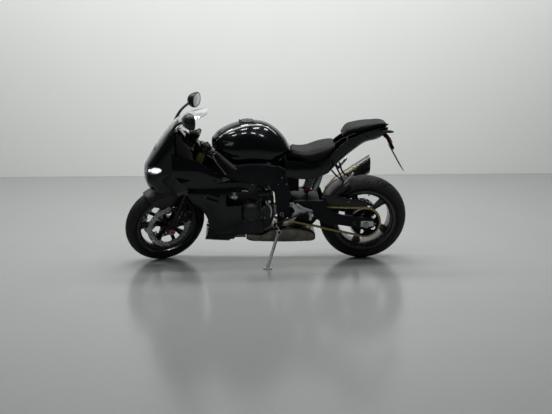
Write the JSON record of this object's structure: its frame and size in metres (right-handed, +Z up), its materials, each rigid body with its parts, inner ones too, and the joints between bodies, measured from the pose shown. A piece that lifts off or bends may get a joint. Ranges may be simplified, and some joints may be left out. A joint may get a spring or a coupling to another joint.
{
  "type": "sport motorcycle",
  "caption": "Fully faired road sport bike parked on its side stand, with turning wheels, steering, folding stand and hinged filler cap.",
  "frame": {"origin": "bottom centre of the parked bike's bounding box, on the ground", "axes": "+X to the rear of the bike, +Y to the rider's right, +Z up; the bike leans 10.5 degrees to its left"},
  "size_m": [2.0541, 0.8079, 1.2278],
  "materials": {
    "black_panel": "gloss black painted plastic",
    "black_tank": "gloss black painted steel",
    "cap_metal": "black anodised aluminium",
    "frame_black": "satin black coated cast aluminium",
    "engine_grey": "dark grey cast alloy",
    "radiator_core": "black finned aluminium",
    "exhaust_steel": "heat tinted stainless steel",
    "silencer_titanium": "brushed titanium with a dark end cap",
    "screen_clear": "clear acrylic",
    "lamp_glass": "clear lens over bright reflector",
    "mirror_black": "black pods with mirror glass",
    "cockpit_black": "matte black plastic",
    "seat_vinyl": "matte black vinyl over foam",
    "indicator_lens": "amber and smoked lens",
    "shock_steel": "steel spring and alloy damper",
    "axle_steel": "machined steel",
    "caliper_black": "black anodised alloy",
    "chain_gold": "gold plated steel",
    "rest_alloy": "machined alloy",
    "fork_gold": "olive gold anodised aluminium",
    "fork_chrome": "coated steel",
    "bar_black": "black alloy bars with rubber grips",
    "tyre_rubber": "black rubber",
    "rim_black": "satin black forged alloy",
    "disc_steel": "ground stainless steel",
    "sprocket_steel": "zinc plated steel",
    "stand_steel": "silver painted steel"
  },
  "bodies": {
    "chassis": {"main_frame": "frame_black", "seat_subframe": "frame_black", "engine": "engine_grey", "engine_covers": "engine_grey", "radiator": "radiator_core", "exhaust_headers": "exhaust_steel", "exhaust_box": "exhaust_steel", "silencer": "silencer_titanium", "fuel_tank": "black_tank", "front_cowl": "black_panel", "windscreen": "screen_clear", "headlights": "lamp_glass", "upper_fairings": "black_panel", "lower_fairings": "black_panel", "winglets": "black_panel", "mirrors": "mirror_black", "instrument_panel": "cockpit_black", "rider_seat": "seat_vinyl", "passenger_seat": "seat_vinyl", "tail_fairing": "black_panel", "rear_indicators": "indicator_lens", "plate_holder": "cockpit_black", "swingarm": "frame_black", "shock_absorber": "shock_steel", "rear_hugger": "black_panel", "rear_axle": "axle_steel", "rear_brake_caliper": "caliper_black", "drive_chain": "chain_gold", "footrests": "rest_alloy"},
    "steering": {"fork_clamps": "frame_black", "fork_outer_tubes": "fork_gold", "fork_inner_tubes": "fork_chrome", "front_axle": "axle_steel", "front_calipers": "caliper_black", "front_mudguard": "black_panel", "handlebars": "bar_black"},
    "front_wheel": {"front_tyre": "tyre_rubber", "front_rim": "rim_black", "front_brake_discs": "disc_steel"},
    "rear_wheel": {"rear_tyre": "tyre_rubber", "rear_rim": "rim_black", "rear_brake_disc": "disc_steel", "rear_sprocket": "sprocket_steel"},
    "side_stand": {"side_stand": "stand_steel"},
    "fuel_cap": {"fuel_cap": "cap_metal"}
  },
  "joints": [
    {"name": "steering_turn", "type": "hinge", "parent": "chassis", "child": "steering", "pos_m": [-0.50607, 0.04542, 0.7752], "axis": [-0.3958, 0.1674, -0.903], "range_deg": [0, 52]},
    {"name": "front_wheel_spin", "type": "hinge", "parent": "steering", "child": "front_wheel", "pos_m": [-0.74746, 0.12328, 0.28618], "axis": [-0.4026, 0.8521, 0.3344], "continuous": true},
    {"name": "rear_wheel_spin", "type": "hinge", "parent": "chassis", "child": "rear_wheel", "pos_m": [0.70676, 0.13039, 0.31676], "axis": [0, 0.9833, 0.1822], "continuous": true},
    {"name": "side_stand_fold", "type": "hinge", "parent": "chassis", "child": "side_stand", "pos_m": [0.0755, -0.01262, 0.23785], "axis": [0.2015, -0.979, -0.0308], "range_deg": [0, 123.9]},
    {"name": "fuel_cap_open", "type": "hinge", "parent": "chassis", "child": "fuel_cap", "pos_m": [-0.19942, -0.0043, 1.0435], "axis": [0, -0.9833, -0.1822], "range_deg": [0, 90]}
  ]
}
